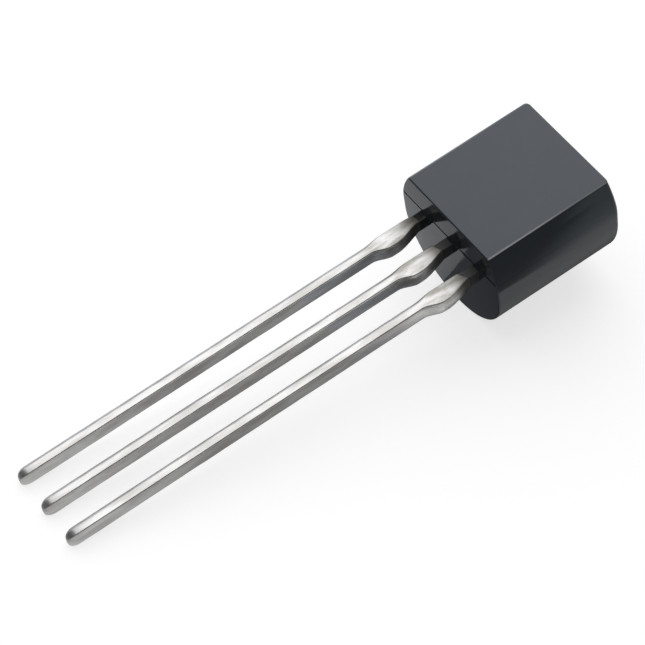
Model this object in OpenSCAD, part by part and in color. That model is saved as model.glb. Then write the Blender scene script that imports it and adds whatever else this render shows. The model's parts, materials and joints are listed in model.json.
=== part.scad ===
// Transistor in a plastic TO-92 package.
// The package is drawn with its flat face up, its leads towards -Y, the parting line at height zero
// and the lead end of the body at Y = 0. It is then laid on its rounded back and its lead tips.

/* [Moulded body] */
// Radius of the rounded back and of the rounded sides in front of it
back_radius = 2.32; // [2.2:0.01:2.6]
// Straight run of the sides between those two rounds
side_run = 0.39; // [0.2:0.01:0.6]
// Distance from the axis of the front round up to the flat face
flat_offset = 1.3; // [1.1:0.01:1.5]
// Distance from the axis of the front round up to the parting line
parting_offset = 0.23; // [0.15:0.01:0.5]
// Length of the body along the leads
body_length = 4.45; // [4.2:0.05:5.2]
// Draft of the end faces above the parting line, in degrees
front_draft = 2.2; // [0.5:0.1:4]
// Draft of the end faces below the parting line, in degrees
back_draft = 0.4; // [0.2:0.1:1]
// Radius round the rim of each end face
rim_radius = 0.06; // [0.05:0.01:0.15]
// Radius along the two long edges of the flat face
flat_edge_radius = 0.06; // [0.04:0.01:0.15]

/* [Leads] */
// Distance between neighbouring leads
lead_pitch = 1.27; // [1.2:0.01:1.35]
// Length of the leads outside the body
lead_length = 14.2; // [8:0.1:20]
// Width of the stamped lead before it is tinned
strip_width = 0.3; // [0.26:0.01:0.38]
// Thickness of the stamped lead frame
frame_thickness = 0.45; // [0.34:0.01:0.48]
// Thickness of the tin coat
tin_coat = 0.045; // [0.02:0.005:0.06]
// Corner radius of the tinned lead
tin_corner_radius = 0.1; // [0.05:0.01:0.14]
// Bare length between the body and the tin
bare_length = 0.25; // [0.15:0.01:0.4]

/* [Shoulders] */
// Reach of the cut tie bar stub from the middle of the lead
shoulder_reach = 0.39; // [0.3:0.01:0.45]
// Length of the long flank, from the start of the tin to the cut edge
near_flank = 1; // [0.6:0.05:1.3]
// Length of the straight cut edge of the stub
cut_edge = 0.15; // [0.05:0.05:0.5]
// Length of the short flank on the tip side of the stub
far_flank = 0.65; // [0.3:0.05:0.9]

/* [Lead frame inside] */
// Width of the die paddle
paddle_width = 1.2; // [1:0.05:1.4]
// Length of the die paddle
paddle_length = 1.6; // [1.2:0.05:2]
// Distance from the end face to the die paddle
paddle_start = 1.3; // [1:0.05:1.6]
// Gap between the paddle and the bonding posts
frame_gap = 0.3; // [0.2:0.01:0.35]
// Width of a bonding post
post_width = 0.75; // [0.65:0.01:0.8]
// Length of a bonding post
post_length = 1.3; // [0.9:0.05:1.6]
// Distance from the end face to the bonding posts
post_start = 1; // [0.7:0.05:1.3]

/* [Die and bonds] */
// Side of the square die
die_side = 0.5; // [0.3:0.05:0.8]
// Thickness of the die
die_thickness = 0.2; // [0.1:0.01:0.3]
// Thickness of the solder under the die
attach_thickness = 0.03; // [0.02:0.005:0.05]
// Margin of the solder round the die
attach_margin = 0.06; // [0.03:0.01:0.1]
// Diameter of the bond wires
wire_diameter = 0.05; // [0.03:0.005:0.06]
// Diameter of the ball bonds on the die
ball_diameter = 0.11; // [0.08:0.01:0.13]
// Height of the ball bonds on the die
ball_height = 0.03; // [0.02:0.005:0.05]
// Distance of each ball bond from the middle of the die
bond_offset = 0.14; // [0.1:0.01:0.16]
// Rise of the bond wires above the line between their ends
wire_rise = 0.35; // [0.2:0.05:0.5]

/* [Hidden] */

// Sides of a true round, of a ball bond and of a bond wire
round_fn = 96;
ball_fn = 12;
wire_fn = 8;
// Steps along a bond wire and along a flank of a shoulder
wire_steps = 14;
flank_steps = 8;
// Overrun of a cutting shape past what it cuts
overrun = 1;
// Share of a bonding post's length at which its wire is bonded
bond_share = 0.65;

// Heights from the parting line
flat_z = flat_offset - parting_offset;
axis_z = -parting_offset;
back_z = axis_z - side_run - back_radius;
frame_mid_z = -frame_thickness / 2;

// Tinned section of a lead, and the ball that rounds its ends
tinned_width = strip_width + 2 * tin_coat;
tinned_thickness = frame_thickness + 2 * tin_coat;
nose_radius = norm([tinned_width, tinned_thickness]) / 2;
tin_start_y = -bare_length - nose_radius;
nose_y = -lead_length + nose_radius;

// Places of the die and of the bonds
die_y = paddle_start + paddle_length / 2;
post_inner_x = paddle_width / 2 + frame_gap;
post_mid_x = post_inner_x + post_width / 2;
post_bond_y = post_start + post_length * bond_share;
die_top_z = attach_thickness + die_thickness;

// Centre of the round on a long edge of the flat face, and where it meets the front round
edge_z = flat_z - flat_edge_radius;
edge_x = sqrt(pow(back_radius - flat_edge_radius, 2) - pow(edge_z - axis_z, 2));
edge_lean = atan2(edge_x, edge_z - axis_z);

// Lying angle: the line under the lead tips that touches the rim of the rounded back
tip_y = nose_y - sqrt(pow(nose_radius, 2) - pow(tinned_thickness / 2, 2));
tip_z = frame_mid_z - tinned_thickness / 2;
rim_run = rim_radius - tip_y;
rim_drop = tip_z - (back_z + rim_radius);
lying_angle = atan2(rim_drop, rim_run) + asin(rim_radius / norm([rim_run, rim_drop]));
lying_lift = -(tip_y * sin(lying_angle) + tip_z * cos(lying_angle));

// Ends of the lying part along Y, which put the origin under its middle
low_y = nose_y * cos(lying_angle) - frame_mid_z * sin(lying_angle) - nose_radius;
far_rim_y = body_length - rim_radius;
high_y = far_rim_y * cos(lying_angle) - (back_z + rim_radius) * sin(lying_angle) + rim_radius;

// Smooth step from 0 to 1
function ease(t) = (1 - cos(180 * t)) / 2;

// Lays a shape drawn along the leads on the rounded back and the lead tips
module lying() {
    translate([0, -(low_y + high_y) / 2, lying_lift])
        rotate([lying_angle, 0, 0])
            children();
}

// Extrudes an outline drawn across the leads, between two stations along Y
module along_leads(from_y, to_y) {
    translate([0, to_y, 0])
        rotate([90, 0, 0])
            linear_extrude(to_y - from_y)
                children();
}

// Section that trims the front round to the flat face with rounded edges
module flat_section() {
    reach = -back_z + overrun;
    difference() {
        translate([-reach, -reach])
            square([2 * reach, reach + flat_z]);
        edge_trim(reach);
        mirror([1, 0, 0])
            edge_trim(reach);
    }
}

// Waste outside the round on one long edge of the flat face
module edge_trim(reach) {
    difference() {
        polygon([
            [edge_x, edge_z],
            [edge_x, reach],
            [reach, reach],
            [edge_x + reach * sin(edge_lean), edge_z + reach * cos(edge_lean)]
        ]);
        translate([edge_x, edge_z])
            circle(flat_edge_radius, $fn = round_fn);
    }
}

// Side outline of the body with its drafted end faces
module draft_section() {
    front = flat_z + overrun;
    back = -back_z + overrun;
    front_set = front * tan(front_draft);
    back_set = back * tan(back_draft);
    polygon([
        [0, 0], [front_set, front], [body_length - front_set, front],
        [body_length, 0], [body_length - back_set, -back], [back_set, -back]
    ]);
}

// Half section of the turned round, with its rim radii
module turned_section() {
    intersection() {
        translate([-rim_radius, 0])
            rounded_rectangle(back_radius + rim_radius, body_length, rim_radius);
        square([back_radius, body_length]);
    }
}

// Rectangle with its lower left corner at the origin and four rounded corners
module rounded_rectangle(width, height, radius) {
    translate([radius, 0])
        square([width - 2 * radius, height]);
    translate([0, radius])
        square([width, height - 2 * radius]);
    for (x = [radius, width - radius], y = [radius, height - radius])
        translate([x, y])
            circle(radius, $fn = round_fn);
}

// Half of the turned round with its rims, above or below an axis
module turned_half(height, turn) {
    translate([0, body_length, height])
        rotate([90, 0, 0])
            rotate([0, 0, turn])
                rotate_extrude(angle = 180, $fn = round_fn)
                    turned_section();
}

// Front round, straight sides and rounded back, before the flat face and the drafts are cut
module rounded_block() {
    turned_half(axis_z, 0);
    translate([-back_radius, 0, axis_z - side_run])
        linear_extrude(side_run)
            rounded_rectangle(2 * back_radius, body_length, rim_radius);
    turned_half(axis_z - side_run, 180);
}

// Moulding before the lead frame and the die are let in
module moulding() {
    reach = back_radius + overrun;
    intersection() {
        rounded_block();
        along_leads(-overrun, body_length + overrun)
            flat_section();
        translate([-reach, 0, 0])
            rotate([90, 0, 90])
                linear_extrude(2 * reach)
                    draft_section();
    }
}

// Tinned part of a lead: rounded section, shoulder, rounded start and tip
module tinned_lead() {
    intersection() {
        union() {
            along_leads(-lead_length - overrun, overrun)
                translate([-tinned_width / 2, frame_mid_z - tinned_thickness / 2])
                    rounded_rectangle(tinned_width, tinned_thickness, tin_corner_radius);
            shoulder();
        }
        union() {
            for (y = [nose_y, tin_start_y])
                translate([0, y, frame_mid_z])
                    rotate([90, 0, 0])
                        sphere(nose_radius, $fn = round_fn);
            along_leads(nose_y, tin_start_y)
                translate([-shoulder_reach - overrun, frame_mid_z - tinned_thickness])
                    square([2 * (shoulder_reach + overrun), 2 * tinned_thickness]);
        }
    }
}

// Stub of the cut tie bar on one side of a lead, faded out into the rounded edges of the tin
module shoulder() {
    root_x = tinned_width / 2;
    rise = shoulder_reach - root_x;
    start_y = -bare_length;
    end_y = start_y - near_flank - cut_edge - far_flank;
    fade_x = root_x - tin_corner_radius;
    fade_y = end_y - 2 * tin_corner_radius;
    near_points = [
        for (i = [0:flank_steps])
            [root_x + rise * ease(i / flank_steps), start_y - near_flank * i / flank_steps]
    ];
    far_points = [
        for (i = [flank_steps:-1:0])
            [root_x + rise * ease(i / flank_steps), end_y + far_flank * i / flank_steps]
    ];
    translate([0, 0, frame_mid_z - tinned_thickness / 2])
        linear_extrude(tinned_thickness)
            polygon(concat([[0, start_y]], near_points, far_points, [[fade_x, fade_y], [0, fade_y]]));
}

// Stamped strip of a lead from inside its tin to a station inside the body
module strip(to_y) {
    translate([-strip_width / 2, tin_start_y, -frame_thickness])
        cube([strip_width, to_y - tin_start_y, frame_thickness]);
}

// Flat plate of the lead frame, between two places across the leads
module frame_plate(from_x, to_x, from_y, length) {
    translate([from_x, from_y, -frame_thickness])
        cube([to_x - from_x, length, frame_thickness]);
}

// Lead with a bonding post, on one side of the paddle
module outer_lead(side) {
    translate([side * lead_pitch, 0, 0]) {
        tinned_lead();
        strip(post_start + post_length / 2);
    }
    inner_x = side * post_inner_x;
    outer_x = side * (post_inner_x + post_width);
    frame_plate(min(inner_x, outer_x), max(inner_x, outer_x), post_start, post_length);
}

// Middle lead with the die paddle
module paddle_lead() {
    tinned_lead();
    strip(paddle_start + paddle_length / 2);
    frame_plate(-paddle_width / 2, paddle_width / 2, paddle_start, paddle_length);
}

// Square block on the paddle, between two heights
module paddle_block(side, from_z, to_z) {
    translate([-side / 2, die_y - side / 2, from_z])
        cube([side, side, to_z - from_z]);
}

// Bond wire with its ball, from the die to the post on one side
module bond_wire(side) {
    start = [side * bond_offset, die_y, die_top_z + ball_height];
    stop = [side * post_mid_x, post_bond_y, 0];
    run = [stop.x - start.x, stop.y - start.y];
    heading = atan2(run.y, run.x);
    span = norm(run);
    translate([start.x, start.y, die_top_z])
        cylinder(h = ball_height, d = ball_diameter, $fn = ball_fn);
    translate([start.x, start.y, 0])
        rotate([0, 0, heading])
            arched_wire(span, start.z, stop.z);
}

// Slope of an arched wire at a share of its run, from straight up to straight down
function wire_slope(t, span, fall) =
    atan2(fall * sin(180 * t) + 2 * wire_rise * cos(180 * t), span * sin(180 * t));

// Point on the skin of an arched wire, at a turn round its section
function wire_point(t, turn, span, start_z, fall) =
    let (slope = wire_slope(t, span, fall), out = wire_diameter / 2 * cos(turn))
    [
        span * ease(t) - out * sin(slope),
        wire_diameter / 2 * sin(turn),
        start_z + fall * ease(t) + wire_rise * sin(180 * t) + out * cos(slope)
    ];

// Arched wire in the XZ plane, upright at both ends
module arched_wire(span, start_z, stop_z) {
    fall = stop_z - start_z;
    points = [
        for (i = [0:wire_steps], k = [0:wire_fn - 1])
            wire_point(i / wire_steps, k * 360 / wire_fn, span, start_z, fall)
    ];
    last = wire_steps * wire_fn;
    sides = [
        for (i = [0:wire_steps - 1], k = [0:wire_fn - 1])
            let (a = i * wire_fn + k, b = i * wire_fn + (k + 1) % wire_fn)
            [a, b, b + wire_fn, a + wire_fn]
    ];
    start_cap = [for (k = [wire_fn - 1:-1:0]) k];
    stop_cap = [for (k = [0:wire_fn - 1]) last + k];
    polyhedron(points, concat(sides, [start_cap, stop_cap]));
}

module moulded_body() {
    color([0.13, 0.14, 0.15])
        lying()
            difference() {
                moulding();
                outer_lead(-1);
                paddle_lead();
                outer_lead(1);
                paddle_block(die_side + 2 * attach_margin, 0, attach_thickness);
                paddle_block(die_side, attach_thickness, die_top_z);
                bond_wire(-1);
                bond_wire(1);
            }
}

module emitter_lead() {
    color([0.78, 0.77, 0.75])
        lying()
            outer_lead(-1);
}

module collector_lead() {
    color([0.78, 0.77, 0.75])
        lying()
            paddle_lead();
}

module base_lead() {
    color([0.78, 0.77, 0.75])
        lying()
            outer_lead(1);
}

module silicon_die() {
    color([0.35, 0.36, 0.4])
        lying()
            paddle_block(die_side, attach_thickness, die_top_z);
}

module die_attach() {
    color([0.6, 0.6, 0.62])
        lying()
            paddle_block(die_side + 2 * attach_margin, 0, attach_thickness);
}

module base_bond_wire() {
    color([0.85, 0.66, 0.25])
        lying()
            bond_wire(1);
}

module emitter_bond_wire() {
    color([0.85, 0.66, 0.25])
        lying()
            bond_wire(-1);
}

moulded_body();
emitter_lead();
collector_lead();
base_lead();
silicon_die();
die_attach();
base_bond_wire();
emitter_bond_wire();
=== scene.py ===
import json
import math

import bmesh
import bpy
from mathutils import Matrix, Quaternion, Vector


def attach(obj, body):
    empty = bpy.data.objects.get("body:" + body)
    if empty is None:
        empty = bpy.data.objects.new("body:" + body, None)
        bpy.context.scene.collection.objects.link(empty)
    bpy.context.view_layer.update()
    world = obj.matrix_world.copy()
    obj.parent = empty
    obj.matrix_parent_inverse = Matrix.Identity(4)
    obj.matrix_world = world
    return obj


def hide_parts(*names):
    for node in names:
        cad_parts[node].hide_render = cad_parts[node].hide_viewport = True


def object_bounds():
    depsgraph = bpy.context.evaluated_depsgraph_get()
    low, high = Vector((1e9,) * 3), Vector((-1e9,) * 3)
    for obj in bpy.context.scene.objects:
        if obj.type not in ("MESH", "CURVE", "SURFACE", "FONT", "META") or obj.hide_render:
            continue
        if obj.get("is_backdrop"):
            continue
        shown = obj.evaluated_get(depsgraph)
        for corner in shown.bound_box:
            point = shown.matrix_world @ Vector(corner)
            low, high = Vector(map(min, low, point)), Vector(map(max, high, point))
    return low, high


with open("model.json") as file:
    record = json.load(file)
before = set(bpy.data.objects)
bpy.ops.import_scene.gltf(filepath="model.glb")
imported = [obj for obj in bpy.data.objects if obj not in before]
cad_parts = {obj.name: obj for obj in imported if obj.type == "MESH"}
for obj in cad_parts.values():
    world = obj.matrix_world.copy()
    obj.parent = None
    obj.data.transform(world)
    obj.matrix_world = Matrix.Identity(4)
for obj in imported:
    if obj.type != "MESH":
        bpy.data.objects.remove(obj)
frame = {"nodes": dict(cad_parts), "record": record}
cad_low, cad_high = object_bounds()

MM = 0.001

# Package sizes in millimetres. X runs across the leads, Y along them towards the body, Z up towards the
# flat face. The lead end of the body is at Y = 0, and the top of the lead frame at Z = 0.
BACK_RADIUS = 2.32
SIDE_RUN = 0.39
FLAT_OFFSET = 1.3
FRAME_OFFSET = 0.23
BODY_LENGTH = 4.45
UPPER_DRAFT = math.radians(2.2)
LOWER_DRAFT = math.radians(0.4)
RIM_RADIUS = 0.06
FAR_RIM_RADIUS = 0.13
FLAT_EDGE = 0.05
FLAT_HEIGHT = FLAT_OFFSET - FRAME_OFFSET
AXIS_HEIGHT = -FRAME_OFFSET
FLAT_HALF_WIDTH = math.sqrt(BACK_RADIUS**2 - FLAT_OFFSET**2)

# Fine groove along the parting line, where the two halves of the mould met: it hardly shows on the sides
PARTING_HEIGHT = 0.155
GROOVE_HALF_WIDTH = 0.055
GROOVE_DEPTH = 0.06
SIDE_GROOVE_DEPTH = 0.004

# Leads: stamped strip, tin over it, shoulder of the cut tie bar
LEAD_PITCH = 1.27
LEAD_LENGTH = 14.2
STRIP_WIDTH = 0.3
STRIP_THICKNESS = 0.45
TIN_COAT = 0.045
TIN_CORNER = 0.06
SOFT_CORNER = 0.2
SOFT_CORNER_RUN = (-1.5, -2.1)
TIN_WIDTH = STRIP_WIDTH + 2 * TIN_COAT
TIN_THICKNESS = STRIP_THICKNESS + 2 * TIN_COAT
LEAD_MID = -STRIP_THICKNESS / 2
TIN_SPARE = -0.2
TIN_RIM = -0.3
TIN_FULL = -0.75
TIN_SLOPE = 0.032
RIM_LENGTH = 0.08
RIM_INSET = 0.075
TIP_BACK = 0.004
NOSE_LENGTH = 0.32
NOSE_INSET = 0.155
NOSE_DROP = 0.13
UNEVEN_SIZE = 0.7
UNEVEN_DEPTH = 0.012
STRIP_START = -0.85
SHOULDER_REACH = 0.39
SHOULDER_START = -0.25
NEAR_FLANK = 1.0
CUT_EDGE = 0.15
FAR_FLANK = 0.65

# Lead frame inside the body
PADDLE_WIDTH = 1.2
PADDLE_START = 1.3
PADDLE_LENGTH = 1.6
FRAME_GAP = 0.3
POST_WIDTH = 0.75
POST_START = 1.0
POST_LENGTH = 1.3
POST_INNER = PADDLE_WIDTH / 2 + FRAME_GAP

# Mesh fineness
BODY_SIDES = 240
RIM_SEGMENTS = 6
CORNER_SEGMENTS = 6
SHOULDER_STATIONS = 60
LEAD_STATIONS = 100
END_RINGS = 14
BODY_SMOOTH_ANGLE = math.radians(35)
LEAD_SMOOTH_ANGLE = math.radians(40)

# How faces, edges and vertices are found. A face is square to an axis when its normal's part along the
# axis is greater than SQUARE_ON, and faces sideways when that part is less than SIDEWAYS. The flat face is
# LEVEL, and an end face of the tin may be SLANTED. A long edge of a lead is longer than LONG_EDGE, and the
# other values are slacks in millimetres.
SQUARE_ON = 0.9
SIDEWAYS = 0.1
LEVEL = 0.99
SLANTED = 0.8
LONG_EDGE = 0.3
PAST = 0.01
STATION_REACH = 2e-4
TOUCH_REACH = 1e-4
FINE_REACH = 1e-5

# How the package lies: its flat face as the frame gives it
flat_mount = next(m for m in frame["record"]["mounts"] if m["name"] == "flat_face")
LYING_ANGLE = math.atan2(-flat_mount["axis"][1], flat_mount["axis"][2])
TURN_DOWN = Matrix.Rotation(LYING_ANGLE, 4, "X")
FLAT_CENTRE = Vector((0, BODY_LENGTH / 2, FLAT_HEIGHT)) * MM
LYING_SHIFT = Vector(flat_mount["pos_m"]) - TURN_DOWN @ FLAT_CENTRE
LAY_DOWN = Matrix.Translation(LYING_SHIFT) @ TURN_DOWN @ Matrix.Scale(MM, 4)


# Modelling helpers
def edit(piece):
    bpy.ops.object.select_all(action="DESELECT")
    bpy.context.view_layer.objects.active = piece
    piece.select_set(True)
    bpy.ops.object.mode_set(mode="EDIT")


def leave_edit():
    bpy.ops.object.mode_set(mode="OBJECT")


def pick(piece, kind, test):
    """Selects the vertices, edges or faces of a piece in edit mode that pass the test."""
    bpy.ops.mesh.select_mode(type=kind)
    bpy.ops.mesh.select_all(action="DESELECT")
    mesh = bmesh.from_edit_mesh(piece.data)
    mesh.normal_update()
    items = {"VERT": mesh.verts, "EDGE": mesh.edges, "FACE": mesh.faces}[kind]
    for item in items:
        if test(item):
            item.select_set(True)
    mesh.select_flush_mode()
    bmesh.update_edit_mesh(piece.data)


def cut(place, direction, trim=False):
    """Cuts the mesh in edit mode with a plane, and trims it on the side that the plane faces."""
    bpy.ops.mesh.select_mode(type="FACE")
    bpy.ops.mesh.select_all(action="SELECT")
    bpy.ops.mesh.bisect(
        plane_co=place, plane_no=direction, use_fill=trim, clear_outer=trim, threshold=FINE_REACH
    )


def combine(piece, other, operation):
    """Joins another solid to a piece or cuts it out of the piece."""
    bpy.ops.object.select_all(action="DESELECT")
    bpy.context.view_layer.objects.active = piece
    piece.select_set(True)
    modifier = piece.modifiers.new("combine", "BOOLEAN")
    modifier.operation = operation
    modifier.solver = "EXACT"
    modifier.object = other
    bpy.ops.object.modifier_apply(modifier=modifier.name)


def remove(piece):
    bpy.ops.object.select_all(action="DESELECT")
    piece.select_set(True)
    bpy.ops.object.delete()


def finish_piece(piece, smooth_angle):
    """Lays a package-frame piece down into the row frame and smooths its shading."""
    bpy.ops.object.select_all(action="DESELECT")
    bpy.context.view_layer.objects.active = piece
    piece.select_set(True)
    piece.matrix_world = LAY_DOWN @ piece.matrix_world
    bpy.ops.object.transform_apply(location=True, rotation=True, scale=True)
    bpy.ops.object.shade_smooth_by_angle(angle=smooth_angle)


def ease(share):
    return (1 - math.cos(math.pi * share)) / 2


# Moulded body
def is_end_edge(edge):
    normals = [face.normal for face in edge.link_faces]
    at_end = any(abs(n.y) > SQUARE_ON for n in normals)
    on_side = any(abs(n.y) < SIDEWAYS and n.z < SQUARE_ON for n in normals)
    return at_end and on_side


def is_rim_edge(edge, at_far_end):
    in_far_half = edge.verts[0].co.y > BODY_LENGTH / 2
    return is_end_edge(edge) and in_far_half == at_far_end


def is_flat_edge(edge):
    facing_up = [face.normal.z > LEVEL for face in edge.link_faces]
    return any(facing_up) and not all(facing_up)


def is_in_groove(vertex, on_end):
    in_groove = abs(vertex.co.z - PARTING_HEIGHT) < TOUCH_REACH
    return in_groove and (abs(vertex.normal.y) > SQUARE_ON) == on_end


def model_body():
    bpy.ops.mesh.primitive_cylinder_add(
        vertices=BODY_SIDES,
        radius=BACK_RADIUS,
        depth=BODY_LENGTH,
        location=(0, BODY_LENGTH / 2, AXIS_HEIGHT),
        rotation=(math.pi / 2, 0, 0),
    )
    body = bpy.context.object
    body.name = "epoxy_moulding"
    bpy.ops.object.transform_apply(location=True, rotation=True, scale=True)
    edit(body)
    pick(body, "VERT", lambda vertex: vertex.co.z < AXIS_HEIGHT - PAST)
    bpy.ops.transform.translate(value=(0, 0, -SIDE_RUN))
    cut((0, 0, FLAT_HEIGHT), (0, 0, 1), trim=True)
    for end_y, outward in ((0, -1), (BODY_LENGTH, 1)):
        for draft, upward in ((UPPER_DRAFT, 1), (LOWER_DRAFT, -1)):
            facing = (0, outward * math.cos(draft), upward * math.sin(draft))
            cut((0, end_y, PARTING_HEIGHT), facing, trim=True)
    for radius, at_far_end in ((RIM_RADIUS, False), (FAR_RIM_RADIUS, True)):
        pick(body, "EDGE", lambda edge: is_rim_edge(edge, at_far_end))
        bpy.ops.mesh.bevel(offset=radius, segments=RIM_SEGMENTS, affect="EDGES")
    pick(body, "EDGE", is_flat_edge)
    bpy.ops.mesh.bevel(offset=FLAT_EDGE, segments=CORNER_SEGMENTS, affect="EDGES")
    for side in (-1, 0, 1):
        cut((0, 0, PARTING_HEIGHT + side * GROOVE_HALF_WIDTH), (0, 0, 1))
    for depth, on_end in ((GROOVE_DEPTH, True), (SIDE_GROOVE_DEPTH, False)):
        pick(body, "VERT", lambda vertex: is_in_groove(vertex, on_end))
        bpy.ops.transform.shrink_fatten(value=-depth)
    leave_edit()
    return body


# Leads
SHOULDER_END = SHOULDER_START - NEAR_FLANK - CUT_EDGE - FAR_FLANK


def shoulder_width(y):
    """Half width of a lead on its shoulder side."""
    run = SHOULDER_START - y
    share = min(run / NEAR_FLANK, (y - SHOULDER_END) / FAR_FLANK, 1)
    return TIN_WIDTH / 2 + (SHOULDER_REACH - TIN_WIDTH / 2) * ease(max(share, 0))


def runs_along(edge, from_y, to_y):
    low, high = sorted(vertex.co.y for vertex in edge.verts)
    return high - low > LONG_EDGE and low > from_y - PAST and high < to_y + PAST


def model_tin():
    """Tin-coated outer part of a lead, modelled once at the middle of the row."""
    tip_y = TIP_BACK - LEAD_LENGTH + NOSE_LENGTH
    length = TIN_SPARE - tip_y
    bpy.ops.mesh.primitive_cube_add(size=1, location=(0, (TIN_SPARE + tip_y) / 2, LEAD_MID))
    tin = bpy.context.object
    tin.scale = (TIN_WIDTH, length, TIN_THICKNESS)
    bpy.ops.object.transform_apply(location=True, rotation=True, scale=True)
    edit(tin)
    pick(tin, "EDGE", lambda edge: runs_along(edge, tip_y, TIN_SPARE))
    bpy.ops.mesh.bevel(offset=TIN_CORNER, segments=CORNER_SEGMENTS, affect="EDGES")
    cut((0, SHOULDER_END, 0), (0, 1, 0))
    pick(tin, "EDGE", lambda edge: runs_along(edge, SHOULDER_END, TIN_SPARE))
    bpy.ops.mesh.subdivide(number_cuts=SHOULDER_STATIONS - 1)
    pick(tin, "EDGE", lambda edge: runs_along(edge, tip_y, SHOULDER_END))
    bpy.ops.mesh.subdivide(number_cuts=LEAD_STATIONS - 1)
    shape_shoulder(tin)
    soften_corner(tin)
    thin_start(tin)
    grow_end(tin, -1, round_rings(tip_y, tip_y - NOSE_LENGTH, 0, NOSE_INSET), NOSE_DROP)
    leave_edit()
    return tin


def grow_end(tin, facing, rings, drop=0):
    """Grows an end of the tin from its end face, by rings that give a place and an inset, round a middle
    that lies lower than the lead's by the drop."""
    pick(tin, "FACE", lambda face: face.normal.y * facing > SLANTED)
    y, inset = rings[0]
    for new_y, new_inset in rings[1:]:
        bpy.ops.mesh.extrude_region_move(TRANSFORM_OT_translate={"value": (0, new_y - y, 0)})
        across = (TIN_WIDTH / 2 - new_inset) / (TIN_WIDTH / 2 - inset)
        through = (TIN_THICKNESS / 2 - new_inset) / (TIN_THICKNESS / 2 - inset)
        middle = (0, new_y, LEAD_MID - drop)
        bpy.ops.transform.resize(value=(across, across, through), center_override=middle)
        y, inset = new_y, new_inset


def round_rings(from_y, to_y, from_inset, to_inset):
    """Rings of a quarter round that ends square to the lead."""
    turns = [math.pi / 2 * ring / END_RINGS for ring in range(END_RINGS + 1)]
    run, drop = to_y - from_y, to_inset - from_inset
    return [(from_y + run * math.sin(t), from_inset + drop * (1 - math.cos(t))) for t in turns]


def start_inset(y):
    """How far the tin is thinner towards its start than along the lead."""
    share = (y - TIN_FULL) / (TIN_RIM - TIN_FULL)
    return TIN_SLOPE * max(0, min(share, 1)) ** 3


def thin_start(tin):
    """Thins the tin towards the body, station by station."""
    mesh = bmesh.from_edit_mesh(tin.data)
    for y in sorted({round(v.co.y, 4) for v in mesh.verts if v.co.y > TIN_FULL}):
        inset = start_inset(y)
        pick(tin, "VERT", lambda v: abs(v.co.y - y) < STATION_REACH)
        thinner = (1 - inset / (TIN_WIDTH / 2), 1, 1 - inset / (TIN_THICKNESS / 2))
        bpy.ops.transform.resize(value=thinner, center_override=(0, y, LEAD_MID))


def shape_shoulder(tin):
    """Pushes the right-hand side out, station by station, to the cut stub of the tie bar."""
    mesh = bmesh.from_edit_mesh(tin.data)
    stations = sorted({round(v.co.y, 4) for v in mesh.verts if SHOULDER_END < v.co.y < SHOULDER_START})
    for y in stations:
        push = shoulder_width(y) - TIN_WIDTH / 2
        pick(tin, "VERT", lambda v: abs(v.co.y - y) < STATION_REACH and v.co.x > PAST)
        bpy.ops.transform.translate(value=(push, 0, 0))


def soften_corner(tin):
    """Widens the round on the upper left edge, station by station, beyond the shoulder."""
    from_y, to_y = SOFT_CORNER_RUN
    corner_x, corner_z = -TIN_WIDTH / 2, LEAD_MID + TIN_THICKNESS / 2
    reach = TIN_CORNER + TOUCH_REACH
    mesh = bmesh.from_edit_mesh(tin.data)
    stations = sorted({round(v.co.y, 4) for v in mesh.verts if to_y < v.co.y < from_y})
    growth = SOFT_CORNER / TIN_CORNER - 1
    steps = []
    for y in stations:
        factor = 1 + growth * ease((from_y - y) / (from_y - to_y))
        steps.append((y - STATION_REACH, y + STATION_REACH, factor))
    steps.append((-LEAD_LENGTH, to_y + FINE_REACH, 1 + growth))
    for low, high, factor in steps:
        pick(
            tin,
            "VERT",
            lambda v: low <= v.co.y <= high and v.co.x < corner_x + reach and v.co.z > corner_z - reach,
        )
        bpy.ops.transform.resize(value=(factor, 1, factor), center_override=(corner_x, 0, corner_z))


def model_strip(x, left, right, start_y, length):
    """Stamped strip of a lead inside the body, with the plate it carries."""
    end_y = start_y + length
    bpy.ops.mesh.primitive_cube_add(size=1, location=(x, (STRIP_START + end_y) / 2, LEAD_MID))
    strip = bpy.context.object
    strip.scale = (STRIP_WIDTH, end_y - STRIP_START, STRIP_THICKNESS)
    bpy.ops.object.transform_apply(location=True, rotation=True, scale=True)
    edit(strip)
    cut((0, start_y, 0), (0, 1, 0))
    for facing, reach in ((-1, x - STRIP_WIDTH / 2 - left), (1, right - x - STRIP_WIDTH / 2)):
        pick(
            strip,
            "FACE",
            lambda face: face.normal.x * facing > SQUARE_ON and face.calc_center_median().y > start_y,
        )
        bpy.ops.mesh.extrude_region_move(TRANSFORM_OT_translate={"value": (facing * reach, 0, 0)})
    leave_edit()
    return strip


def uneven(piece, size, depth):
    """Lets the tin's surface sink a little here and there, as it sets on the strip."""
    texture = bpy.data.textures.new("tin_unevenness", "CLOUDS")
    texture.noise_scale = size
    modifier = piece.modifiers.new("unevenness", "DISPLACE")
    modifier.texture = texture
    modifier.texture_coords = "LOCAL"
    modifier.mid_level = 1
    modifier.strength = depth
    bpy.ops.object.modifier_apply(modifier=modifier.name)


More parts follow.
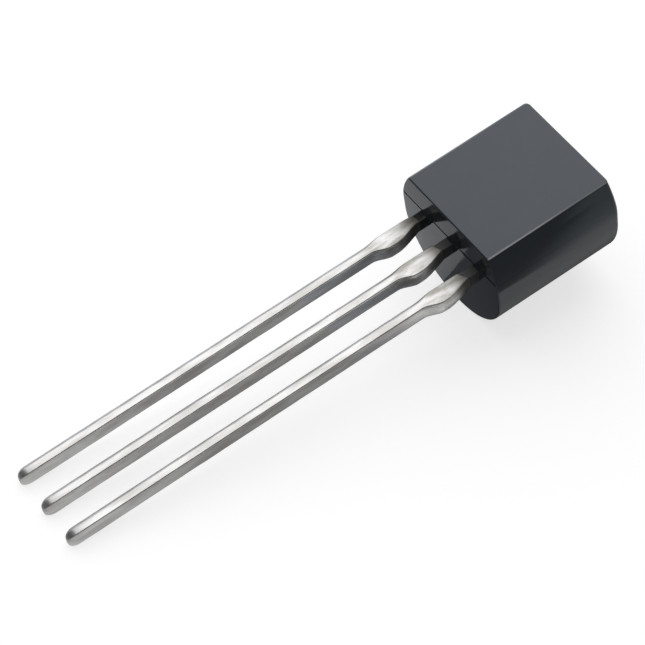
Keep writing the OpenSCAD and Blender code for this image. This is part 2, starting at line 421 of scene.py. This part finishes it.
def copy_tin(model, name, x, start_y, slant):
    """Copy of the tin for one lead, with its start trimmed aslant and rounded down to the strip."""
    bpy.ops.object.select_all(action="DESELECT")
    bpy.context.view_layer.objects.active = model
    model.select_set(True)
    bpy.ops.object.duplicate()
    tin = bpy.context.object
    tin.name = name
    edit(tin)
    rim_y = start_y - RIM_LENGTH
    cut((0, rim_y, 0), (-math.sin(slant), math.cos(slant), 0), trim=True)
    grow_end(tin, 1, round_rings(rim_y, start_y, start_inset(rim_y), RIM_INSET))
    bpy.ops.mesh.select_all(action="SELECT")
    bpy.ops.transform.translate(value=(x, 0, 0))
    leave_edit()
    uneven(tin, UNEVEN_SIZE, UNEVEN_DEPTH)
    return tin


# Finishes: colours, and the roughnesses between which each one varies
EPOXY_DARK = (0.0125, 0.0150, 0.0180)
EPOXY_LIGHT = (0.0165, 0.0190, 0.0220)
EPOXY_GLOSS = (0.07, 0.11)
EPOXY_IOR = 1.53
EPOXY_MIRROR_TINT = (0.76, 0.88, 1, 1)
# The flat face's colour is lighter than the rest of the epoxy: partly the satin face's own tone, partly
# painted sheen standing in for the softbox's reflection, which mirror-like rays do not see
FLAT_TONE_AND_SHEEN_DARK = (0.092, 0.098, 0.110)
FLAT_TONE_AND_SHEEN_LIGHT = (0.102, 0.109, 0.121)
FLAT_SATIN = (0.42, 0.5)
# Painted highlight along the long edges of the flat face, lighter towards the lead end
EDGE_HIGHLIGHT_DARK = (0.17, 0.175, 0.185)
EDGE_HIGHLIGHT_LIGHT = (0.36, 0.365, 0.375)
CLEAN_TIN = (0.985, 0.98, 0.97)
GREY_TIN = (0.74, 0.725, 0.70)
SHOULDER_TIN = (0.44, 0.42, 0.38)
# Painted reflection of the black body, darkening the tin towards its start
TIN_START_REFLECTION_DARK = (0.17, 0.163, 0.143)
TIN_START_REFLECTION_LIGHT = (0.32, 0.308, 0.275)
TIN_SHINE = (0.14, 0.26)
TIN_START_ROUGHNESS = 0.42
TIN_START_METALLIC = 0.78
NOSE_ROUGHNESS = 0.4
# The bare neck's dark grey: partly the untinned strip's own tone, partly painted reflection of the black
# body
BARE_STRIP_AND_REFLECTION = (0.09, 0.09, 0.09)
BARE_STRIP_ROUGHNESS = 0.45
SILICON_DARK = (0.2, 0.21, 0.25)
SILICON_LIGHT = (0.34, 0.35, 0.39)
SILICON_POLISH = (0.08, 0.2)
SOLDER_DARK = (0.5, 0.5, 0.52)
SOLDER_LIGHT = (0.64, 0.64, 0.66)
SOLDER_ROUGHNESS = 0.35
GOLD_DARK = (0.72, 0.5, 0.16)
GOLD_LIGHT = (0.9, 0.68, 0.28)
GOLD_ROUGHNESS = 0.2

# Patterns: how fine they are, the part of their values that is spread out, and the depth of their relief
CLOUD_FINENESS = 1.4
GRAIN_FINENESS = 60
RIPPLE_FINENESS = 2.2
BRUSH_FINENESS = 20
SILICON_FIELD_FINENESS = 9
STREAK_STRETCH = (7, 0.5, 7)
MOTTLE_STRETCH = (3, 0.8, 3)
NOISE_RANGE = (0.3, 0.7)
MOTTLE_RANGE = (0.33, 0.66)
SILICON_FIELD_RANGE = (0.1, 0.7)
EPOXY_RIPPLE_DEPTH = 0.0012
EPOXY_GRAIN_DEPTH = 0.0004
TIN_MOTTLE_DEPTH = 0.006
TIN_STREAK_DEPTH = 0.004

# Stretches over which one finish passes into another
FLAT_START_Z = (FLAT_HEIGHT - 0.012, FLAT_HEIGHT - 0.004)
# Where the painted highlight on the flat face's long edges lies, and along which it fades from the lead
# end
EDGE_HIGHLIGHT_X = (FLAT_HALF_WIDTH - 0.045, FLAT_HALF_WIDTH - 0.02)
EDGE_HIGHLIGHT_Y = (1.6, 3.4)
EDGE_HIGHLIGHT_Z = (FLAT_HEIGHT - 0.03, FLAT_HEIGHT - 0.02)
SHOULDER_FADE_Y = (SHOULDER_END - 0.5, SHOULDER_END + 0.3)
TIN_START_FADE_Y = (TIN_FULL - 0.85, TIN_FULL - 0.15)
# Where the painted reflection of the body on the tin's start sets in
TIN_START_REFLECTION_FADE_Y = (TIN_FULL - 0.3, TIN_FULL + 0.25)
NECK_START_Y = (TIN_FULL, TIN_FULL + 0.02)
NOSE_Y = NOSE_LENGTH - LEAD_LENGTH
NOSE_FADE_Y = (NOSE_Y - 0.05, NOSE_Y + 0.35)


# Materials
def new_material(name):
    material = bpy.data.materials.new(name)
    material.use_nodes = True
    nodes = material.node_tree.nodes
    nodes.clear()
    output = nodes.new("ShaderNodeOutputMaterial")
    shader = nodes.new("ShaderNodeBsdfPrincipled")
    material.node_tree.links.new(shader.outputs["BSDF"], output.inputs["Surface"])
    return material, shader


def node(material, kind, **values):
    made = material.node_tree.nodes.new(kind)
    for key, value in values.items():
        setattr(made, key, value)
    return made


def link(material, source, target):
    material.node_tree.links.new(source, target)


def package_place(material, stretch=(1, 1, 1)):
    """Place in the package frame in millimetres, from the piece's own coordinates."""
    coordinates = node(material, "ShaderNodeTexCoord")
    mapping = node(material, "ShaderNodeMapping")
    shift = -(TURN_DOWN.inverted() @ LYING_SHIFT) / MM
    mapping.inputs["Location"].default_value = shift
    mapping.inputs["Rotation"].default_value = (-LYING_ANGLE, 0, 0)
    mapping.inputs["Scale"].default_value = (1 / MM, 1 / MM, 1 / MM)
    link(material, coordinates.outputs["Object"], mapping.inputs["Vector"])
    if stretch == (1, 1, 1):
        return mapping.outputs["Vector"]
    stretched = node(material, "ShaderNodeVectorMath", operation="MULTIPLY")
    stretched.inputs[1].default_value = stretch
    link(material, mapping.outputs["Vector"], stretched.inputs[0])
    return stretched.outputs["Vector"]


def noise(material, place, scale, detail=3.0, roughness=0.5):
    texture = node(material, "ShaderNodeTexNoise")
    texture.inputs["Scale"].default_value = scale
    texture.inputs["Detail"].default_value = detail
    texture.inputs["Roughness"].default_value = roughness
    link(material, place, texture.inputs["Vector"])
    return texture.outputs["Fac"]


def spread(material, value, low, high, to_low, to_high):
    """Maps a value's range onto another, smoothly and clamped."""
    mapped = node(material, "ShaderNodeMapRange", interpolation_type="SMOOTHSTEP")
    for key, number in (("From Min", low), ("From Max", high), ("To Min", to_low), ("To Max", to_high)):
        mapped.inputs[key].default_value = number
    link(material, value, mapped.inputs["Value"])
    return mapped.outputs["Result"]


def blend_colour(material, factor, first, second):
    mix = node(material, "ShaderNodeMix", data_type="RGBA")
    link(material, factor, mix.inputs["Factor"])
    for socket, colour in ((mix.inputs[6], first), (mix.inputs[7], second)):
        if isinstance(colour, tuple):
            socket.default_value = (*colour, 1)
        else:
            link(material, colour, socket)
    return mix.outputs[2]


def blend_value(material, factor, first, second):
    mix = node(material, "ShaderNodeMix", data_type="FLOAT")
    link(material, factor, mix.inputs["Factor"])
    for socket, number in ((mix.inputs[2], first), (mix.inputs[3], second)):
        if isinstance(number, (int, float)):
            socket.default_value = number
        else:
            link(material, number, socket)
    return mix.outputs[0]


def bump(material, height, depth, normal=None):
    made = node(material, "ShaderNodeBump")
    made.inputs["Distance"].default_value = depth * MM
    link(material, height, made.inputs["Height"])
    if normal is not None:
        link(material, normal, made.inputs["Normal"])
    return made.outputs["Normal"]


def epoxy():
    """Black moulded epoxy: polished all round, satin on the flat face, with painted sheen on the flat face
    and a painted highlight along its long edges.
    """
    material, shader = new_material("black_epoxy")
    place = package_place(material)
    axes = node(material, "ShaderNodeSeparateXYZ")
    link(material, place, axes.inputs["Vector"])
    on_flat = spread(material, axes.outputs["Z"], *FLAT_START_Z, 0, 1)
    cloud = noise(material, place, CLOUD_FINENESS, 4)
    grain = noise(material, place, GRAIN_FINENESS, 3)
    colour = blend_colour(material, cloud, EPOXY_DARK, EPOXY_LIGHT)
    # Flat face: its own tone with painted sheen
    flat_tone_and_sheen = blend_colour(material, cloud, FLAT_TONE_AND_SHEEN_DARK, FLAT_TONE_AND_SHEEN_LIGHT)
    moulded = blend_colour(material, on_flat, colour, flat_tone_and_sheen)
    # Painted highlight along both long edges of the flat face, fading from the lead end
    across = node(material, "ShaderNodeMath", operation="ABSOLUTE")
    link(material, axes.outputs["X"], across.inputs[0])
    at_side = spread(material, across.outputs[0], *EDGE_HIGHLIGHT_X, 0, 1)
    at_top = spread(material, axes.outputs["Z"], *EDGE_HIGHLIGHT_Z, 0, 1)
    edge_highlight_mask = node(material, "ShaderNodeMath", operation="MULTIPLY")
    link(material, at_side, edge_highlight_mask.inputs[0])
    link(material, at_top, edge_highlight_mask.inputs[1])
    edge_highlight_fade = spread(material, axes.outputs["Y"], *EDGE_HIGHLIGHT_Y, 1, 0.1)
    edge_highlight_colour = blend_colour(material, edge_highlight_fade, EDGE_HIGHLIGHT_DARK, EDGE_HIGHLIGHT_LIGHT)
    edge_highlighted = blend_colour(material, edge_highlight_mask.outputs[0], moulded, edge_highlight_colour)
    link(material, edge_highlighted, shader.inputs["Base Color"])
    gloss = spread(material, cloud, *NOISE_RANGE, *EPOXY_GLOSS)
    satin = spread(material, grain, *NOISE_RANGE, *FLAT_SATIN)
    link(material, blend_value(material, on_flat, gloss, satin), shader.inputs["Roughness"])
    shader.inputs["IOR"].default_value = EPOXY_IOR
    shader.inputs["Specular Tint"].default_value = EPOXY_MIRROR_TINT
    ripple = bump(material, noise(material, place, RIPPLE_FINENESS, 2), EPOXY_RIPPLE_DEPTH)
    link(material, bump(material, grain, EPOXY_GRAIN_DEPTH, ripple), shader.inputs["Normal"])
    return material


def bare_neck(material, axes):
    """One where a surface near the body lies as deep as the bare strip does, and nought on the tin."""
    lead_x = node(material, "ShaderNodeMath", operation="WRAP")
    lead_x.inputs[1].default_value = LEAD_PITCH / 2
    lead_x.inputs[2].default_value = -LEAD_PITCH / 2
    link(material, axes.outputs["X"], lead_x.inputs[0])
    lead_z = node(material, "ShaderNodeMath", operation="SUBTRACT")
    lead_z.inputs[1].default_value = LEAD_MID
    link(material, axes.outputs["Z"], lead_z.inputs[0])
    bare = spread(material, axes.outputs["Y"], *NECK_START_Y, 0, 1)
    for place, half in ((lead_x, STRIP_WIDTH / 2), (lead_z, STRIP_THICKNESS / 2)):
        depth = node(material, "ShaderNodeMath", operation="ABSOLUTE")
        link(material, place.outputs[0], depth.inputs[0])
        deep = spread(material, depth.outputs[0], half + 0.001, half + 0.004, 1, 0)
        both = node(material, "ShaderNodeMath", operation="MULTIPLY")
        link(material, bare, both.inputs[0])
        link(material, deep, both.inputs[1])
        bare = both.outputs[0]
    return bare


def tinned():
    """Hot-dipped tin with soft streaks along the lead, darkened towards its start by a painted reflection
    of the black body, and the dark bare neck next to the body, partly its own tone and partly painted
    reflection of the body.
    """
    material, shader = new_material("hot_dipped_tin")
    place = package_place(material)
    axes = node(material, "ShaderNodeSeparateXYZ")
    link(material, place, axes.inputs["Vector"])
    streaks = noise(material, package_place(material, STREAK_STRETCH), 1, 4, 0.6)
    mottle = noise(material, package_place(material, MOTTLE_STRETCH), 1, 4, 0.55)
    bare = bare_neck(material, axes)
    patches = spread(material, mottle, *MOTTLE_RANGE, 0, 1)
    on_shoulder = spread(material, axes.outputs["Y"], *SHOULDER_FADE_Y, 0, 1)
    darker_tin = blend_colour(material, on_shoulder, GREY_TIN, SHOULDER_TIN)
    tin = blend_colour(material, patches, darker_tin, CLEAN_TIN)
    # Painted reflection of the black body on the tin's start
    reflects_body = spread(material, axes.outputs["Y"], *TIN_START_REFLECTION_FADE_Y, 0, 1)
    body_reflection_tin = blend_colour(material, patches, TIN_START_REFLECTION_DARK, TIN_START_REFLECTION_LIGHT)
    tin = blend_colour(material, reflects_body, tin, body_reflection_tin)
    # Bare neck: partly its own darker tone, partly painted reflection of the body
    link(material, blend_colour(material, bare, tin, BARE_STRIP_AND_REFLECTION), shader.inputs["Base Color"])
    shine = spread(material, streaks, *NOISE_RANGE, *TIN_SHINE)
    at_start = spread(material, axes.outputs["Y"], *TIN_START_FADE_Y, 0, 1)
    satin = blend_value(material, at_start, shine, TIN_START_ROUGHNESS)
    at_nose = spread(material, axes.outputs["Y"], *NOSE_FADE_Y, 1, 0)
    satin = blend_value(material, at_nose, satin, NOSE_ROUGHNESS)
    roughness = blend_value(material, bare, satin, BARE_STRIP_ROUGHNESS)
    link(material, roughness, shader.inputs["Roughness"])
    metallic = blend_value(material, at_start, 1, TIN_START_METALLIC)
    link(material, metallic, shader.inputs["Metallic"])
    ripple = bump(material, mottle, TIN_MOTTLE_DEPTH)
    link(material, bump(material, streaks, TIN_STREAK_DEPTH, ripple), shader.inputs["Normal"])
    return material


def plain_metal(name, dark, light, roughness):
    """Brushed metal of an inner piece, in two close shades."""
    material, shader = new_material(name)
    place = package_place(material)
    shade = noise(material, place, BRUSH_FINENESS, 3)
    link(material, blend_colour(material, shade, dark, light), shader.inputs["Base Color"])
    brushed = spread(material, shade, *NOISE_RANGE, roughness, roughness + 0.15)
    link(material, brushed, shader.inputs["Roughness"])
    shader.inputs["Metallic"].default_value = 1
    return material


def silicon():
    """Polished silicon with faint fields of its pattern."""
    material, shader = new_material("polished_silicon")
    place = package_place(material)
    fields = node(material, "ShaderNodeTexVoronoi")
    fields.inputs["Scale"].default_value = SILICON_FIELD_FINENESS
    link(material, place, fields.inputs["Vector"])
    tint = spread(material, fields.outputs["Distance"], *SILICON_FIELD_RANGE, 0, 1)
    colour = blend_colour(material, tint, SILICON_DARK, SILICON_LIGHT)
    link(material, colour, shader.inputs["Base Color"])
    link(material, spread(material, tint, 0, 1, *SILICON_POLISH), shader.inputs["Roughness"])
    return material


def dress(piece, material):
    piece.data.materials.clear()
    piece.data.materials.append(material)


# Studio
def viewer_strength(tree, camera_strength, mirror_strength, light_strength=0):
    """Strength for the camera, for what mirrors and glass show, and for the rays that carry light."""
    path = tree.nodes.new("ShaderNodeLightPath")
    mirror = tree.nodes.new("ShaderNodeMath")
    mirror.operation = "MAXIMUM"
    tree.links.new(path.outputs["Is Glossy Ray"], mirror.inputs[0])
    tree.links.new(path.outputs["Is Transmission Ray"], mirror.inputs[1])
    viewers = (
        (mirror.outputs[0], mirror_strength),
        (path.outputs["Is Camera Ray"], camera_strength),
    )
    strength = None
    for seen, value in viewers:
        choice = tree.nodes.new("ShaderNodeMix")
        choice.inputs[2].default_value = light_strength
        choice.inputs[3].default_value = value
        tree.links.new(seen, choice.inputs["Factor"])
        if strength is not None:
            tree.links.new(strength, choice.inputs[2])
        strength = choice.outputs[0]
    return strength


# Floor: its grey under the lamps, the glow that whitens it for the camera, and what mirrors see of it
FLOOR_SIZE = 600
FLOOR_GREY = 0.5
FLOOR_GLOW = 0.7
MIRRORED_GREY = (0.75, 0.755, 0.77, 1)
MIRRORED_GLOW = 0.12


def make_floor():
    bpy.ops.object.select_all(action="DESELECT")
    bpy.ops.mesh.primitive_plane_add(size=FLOOR_SIZE * MM)
    floor = bpy.context.object
    floor.name = "floor"
    material = bpy.data.materials.new("white_paper")
    material.use_nodes = True
    tree = material.node_tree
    tree.nodes.clear()
    paper = tree.nodes.new("ShaderNodeBsdfDiffuse")
    glow = tree.nodes.new("ShaderNodeEmission")
    both = tree.nodes.new("ShaderNodeAddShader")
    output = tree.nodes.new("ShaderNodeOutputMaterial")
    mirrored = tree.nodes.new("ShaderNodeMix")
    mirrored.data_type = "RGBA"
    mirrored.inputs[6].default_value = (FLOOR_GREY, FLOOR_GREY, FLOOR_GREY, 1)
    mirrored.inputs[7].default_value = MIRRORED_GREY
    path = tree.nodes.new("ShaderNodeLightPath")
    tree.links.new(path.outputs["Is Glossy Ray"], mirrored.inputs["Factor"])
    tree.links.new(mirrored.outputs[2], paper.inputs["Color"])
    tree.links.new(viewer_strength(tree, FLOOR_GLOW, MIRRORED_GLOW), glow.inputs["Strength"])
    tree.links.new(paper.outputs[0], both.inputs[0])
    tree.links.new(glow.outputs[0], both.inputs[1])
    tree.links.new(both.outputs[0], output.inputs["Surface"])
    floor.data.materials.append(material)
    floor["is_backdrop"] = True


# Strength of the world as light. The camera and mirrors see it white.
WORLD_FILL = 0.24


def make_world():
    world = bpy.data.worlds.new("studio")
    bpy.context.scene.world = world
    world.use_nodes = True
    tree = world.node_tree
    tree.nodes.clear()
    background = tree.nodes.new("ShaderNodeBackground")
    background.inputs["Color"].default_value = (1, 1, 1, 1)
    output = tree.nodes.new("ShaderNodeOutputWorld")
    tree.links.new(viewer_strength(tree, 1, 1, WORLD_FILL), background.inputs["Strength"])
    tree.links.new(background.outputs[0], output.inputs["Surface"])


# The cards round the body's end face are a cool grey, and all the others neutral
COOL_CARDS = ("left_wall", "left_card", "front_wall", "lead_shadow_card")
COOL_GREY = (0.92, 0.965, 1.04, 1)

# Cards that only mirror-like faces see: corners in millimetres, the direction on the floor in which the
# card is shaded, and the places along it and the greys there at which its shading starts and ends
CARDS = {
    "right_card": (
        ((9.2, -30, 0.05), (60, -30, 0.05), (60, 70, 0.05), (-3.8, 70, 0.05)),
        (-0.447, 0.894), (3.4, 0.25), (7.2, 0.6),
    ),
    "right_wall": (
        ((60, -60, 0), (60, 120, 0), (60, 120, 24), (60, -60, 24)),
        (-0.447, 0.894), (-1, 0.25), (3, 0.6),
    ),
    "upper_right_wall": (
        ((60, -60, 24), (60, 120, 24), (60, 120, 120), (60, -60, 120)),
        (0, 1), (0, 0.05), (1, 0.05),
    ),
    "front_wall": (
        ((-160, -60, 0), (100, -60, 0), (100, -32, 110), (-160, -32, 110)),
        (0, 1), (0, 0.08), (1, 0.08),
    ),
    "left_wall": (
        ((-70, -30, 0), (-70, 90, 0), (-70, 90, 46), (-70, -30, 46)),
        (0, 1), (0, 0.5), (1, 0.5),
    ),
    "left_card": (
        ((-70, -60, 0.03), (-6.5, -60, 0.03), (-6.5, 90, 0.03), (-70, 90, 0.03)),
        (0, 1), (0, 0.45), (1, 0.45),
    ),
    "front_card": (
        ((-6.5, -60, 0.03), (60, -60, 0.03), (60, -9.6, 0.03), (-6.5, -9.6, 0.03)),
        (0, 1), (-13, 0.08), (-9.6, 0.2),
    ),
    # Painted shadow: the leads' shadow on the floor next to the body, as mirror-like faces see it, darker
    # towards the body
    "lead_shadow_card": (
        ((-1.5, 1.2, 0.03), (2.6, 1.2, 0.03), (2.6, 5.3, 0.03), (-0.7, 5.3, 0.03)),
        (0, 1), (1.2, 0.22), (4, 0.12),
    ),
    # Painted shadow: the leads' shadow on the floor under them, as mirror-like faces see it, darker
    # towards the body
    "lead_floor_shadow": (
        ((-3.6, -9.6, 0.03), (4.6, -9.6, 0.03), (4.6, 1.2, 0.03), (-3.6, 1.2, 0.03)),
        (0, 1), (-9.6, 0.42), (-3, 0.22),
    ),
    # Painted shadow: the body's contact shadow on the floor under and beside it, as mirror-like faces see
    # it, lighter further out
    "side_shadow_card": (
        ((1.6, 5.1, 0.04), (6, 5.1, 0.04), (6, 14, 0.04), (0.5, 14, 0.04)),
        (1, 0), (0.9, 0.05), (4.3, 0.66),
    ),
    # Painted shadow: the shadow on the floor beside the base lead's shoulder, as mirror-like faces see it,
    # lighter towards the body
    "base_lead_shadow_card": (
        ((2.6, 1.2, 0.03), (4.6, 1.2, 0.03), (4.6, 4.4, 0.03), (2.6, 4.4, 0.03)),
        (0, 1), (1.2, 0.22), (4, 0.5),
    ),
}


def make_card(name, corners, along, near, far):
    """Card that only mirror-like rays see, shaded along a direction on the floor."""
    bpy.ops.object.select_all(action="DESELECT")
    bpy.ops.mesh.primitive_plane_add(size=2)
    card = bpy.context.object
    card.name = name
    edit(card)
    for (x, y), corner in zip(((-1, -1), (1, -1), (1, 1), (-1, 1)), corners):
        pick(card, "VERT", lambda v: (v.co - Vector((x, y, 0))).length < 0.01)
        bpy.ops.transform.translate(value=Vector(corner) * MM - Vector((x, y, 0)))
    leave_edit()
    material = bpy.data.materials.new(name)
    material.use_nodes = True
    material.node_tree.nodes.clear()
    place = node(material, "ShaderNodeTexCoord")
    run = node(material, "ShaderNodeVectorMath", operation="DOT_PRODUCT")
    run.inputs[1].default_value = (*along, 0)
    link(material, place.outputs["Object"], run.inputs[0])
    shading = spread(material, run.outputs["Value"], near[0] * MM, far[0] * MM, near[1], far[1])
    glow = node(material, "ShaderNodeEmission")
    link(material, shading, glow.inputs["Strength"])
    if name in COOL_CARDS:
        glow.inputs["Color"].default_value = COOL_GREY
    output = node(material, "ShaderNodeOutputMaterial")
    link(material, glow.outputs[0], output.inputs["Surface"])
    card.data.materials.append(material)
    card.visible_camera = False
    card.visible_diffuse = False
    card.visible_transmission = False
    card.visible_shadow = False
    card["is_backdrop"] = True


SOFTBOX_PLACE = (-65, 15, 110)
SOFTBOX_SIZE = 220
SOFTBOX_RADIANCE = 0.78


def make_softbox(name, place, size, radiance):
    """Square lamp at a place in millimetres, facing the middle of the object."""
    lamp = bpy.data.lights.new(name, "AREA")
    lamp.shape = "SQUARE"
    lamp.size = size * MM
    lamp.energy = 4 * radiance * (size * MM) ** 2
    softbox = bpy.data.objects.new(name, lamp)
    bpy.context.scene.collection.objects.link(softbox)
    softbox.location = Vector(place) * MM
    softbox.rotation_mode = "QUATERNION"
    softbox.rotation_quaternion = (-Vector(place)).to_track_quat("-Z", "Y")
    softbox.visible_camera = False
    softbox.visible_glossy = False


# Camera
VIEW_AZIMUTH = math.radians(52.877)
VIEW_ELEVATION = math.radians(49.701)
VIEW_ROLL = math.radians(2.728)
VIEW_DISTANCE = 86.0
VIEW_POINT = (-1.445, 1.162, 0)
LENS = 161.93
SENSOR_WIDTH = 36


def make_camera():
    data = bpy.data.cameras.new("camera")
    camera = bpy.data.objects.new("camera", data)
    bpy.context.scene.collection.objects.link(camera)
    back = Vector((
        math.sin(VIEW_AZIMUTH) * math.cos(VIEW_ELEVATION),
        -math.cos(VIEW_AZIMUTH) * math.cos(VIEW_ELEVATION),
        math.sin(VIEW_ELEVATION),
    ))
    camera.location = (Vector(VIEW_POINT) + back * VIEW_DISTANCE) * MM
    camera.rotation_mode = "QUATERNION"
    camera.rotation_quaternion = (-back).to_track_quat("-Z", "Y") @ Quaternion((0, 0, 1), VIEW_ROLL)
    data.lens = LENS
    data.sensor_width = SENSOR_WIDTH
    data.clip_start = MM
    data.clip_end = 10
    bpy.context.scene.camera = camera


# Pieces. Each lead's place in the row, and the left, right, start and length of the plate it carries
LEADS = {
    "emitter_lead": (-LEAD_PITCH, -POST_INNER - POST_WIDTH, -POST_INNER, POST_START, POST_LENGTH),
    "collector_lead": (0, -PADDLE_WIDTH / 2, PADDLE_WIDTH / 2, PADDLE_START, PADDLE_LENGTH),
    "base_lead": (LEAD_PITCH, POST_INNER, POST_INNER + POST_WIDTH, POST_START, POST_LENGTH),
}
# Where the tin starts on each lead, and how far its start slants
TIN_STARTS = {
    "emitter_lead": (-0.23, math.radians(12)),
    "collector_lead": (-0.375, math.radians(18)),
    "base_lead": (-0.4, math.radians(28)),
}
body = model_body()
tin_model = model_tin()
leads = {}
for name, strip_sizes in LEADS.items():
    lead = copy_tin(tin_model, "tinned_" + name, strip_sizes[0], *TIN_STARTS[name])
    strip = model_strip(*strip_sizes)
    combine(lead, strip, "UNION")
    remove(strip)
    combine(body, lead, "DIFFERENCE")
    leads[name] = lead
remove(tin_model)

black_epoxy = epoxy()
tin = tinned()
finish_piece(body, BODY_SMOOTH_ANGLE)
dress(body, black_epoxy)
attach(body, "root")
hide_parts("moulded_body")
for name, lead in leads.items():
    finish_piece(lead, LEAD_SMOOTH_ANGLE)
    dress(lead, tin)
    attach(lead, "root")
    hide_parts(name)

dress(frame["nodes"]["silicon_die"], silicon())
solder = plain_metal("die_solder", SOLDER_DARK, SOLDER_LIGHT, SOLDER_ROUGHNESS)
dress(frame["nodes"]["die_attach"], solder)
gold = plain_metal("gold_wire", GOLD_DARK, GOLD_LIGHT, GOLD_ROUGHNESS)
for name in ("base_bond_wire", "emitter_bond_wire"):
    dress(frame["nodes"][name], gold)

make_floor()
make_world()
for name, sizes in CARDS.items():
    make_card(name, *sizes)
make_softbox("overhead_softbox", SOFTBOX_PLACE, SOFTBOX_SIZE, SOFTBOX_RADIANCE)
make_camera()
bpy.context.scene.view_settings.view_transform = "Standard"

visual_low, visual_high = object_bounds()
sizes = {"cad": [list(cad_low), list(cad_high)], "visual": [list(visual_low), list(visual_high)]}
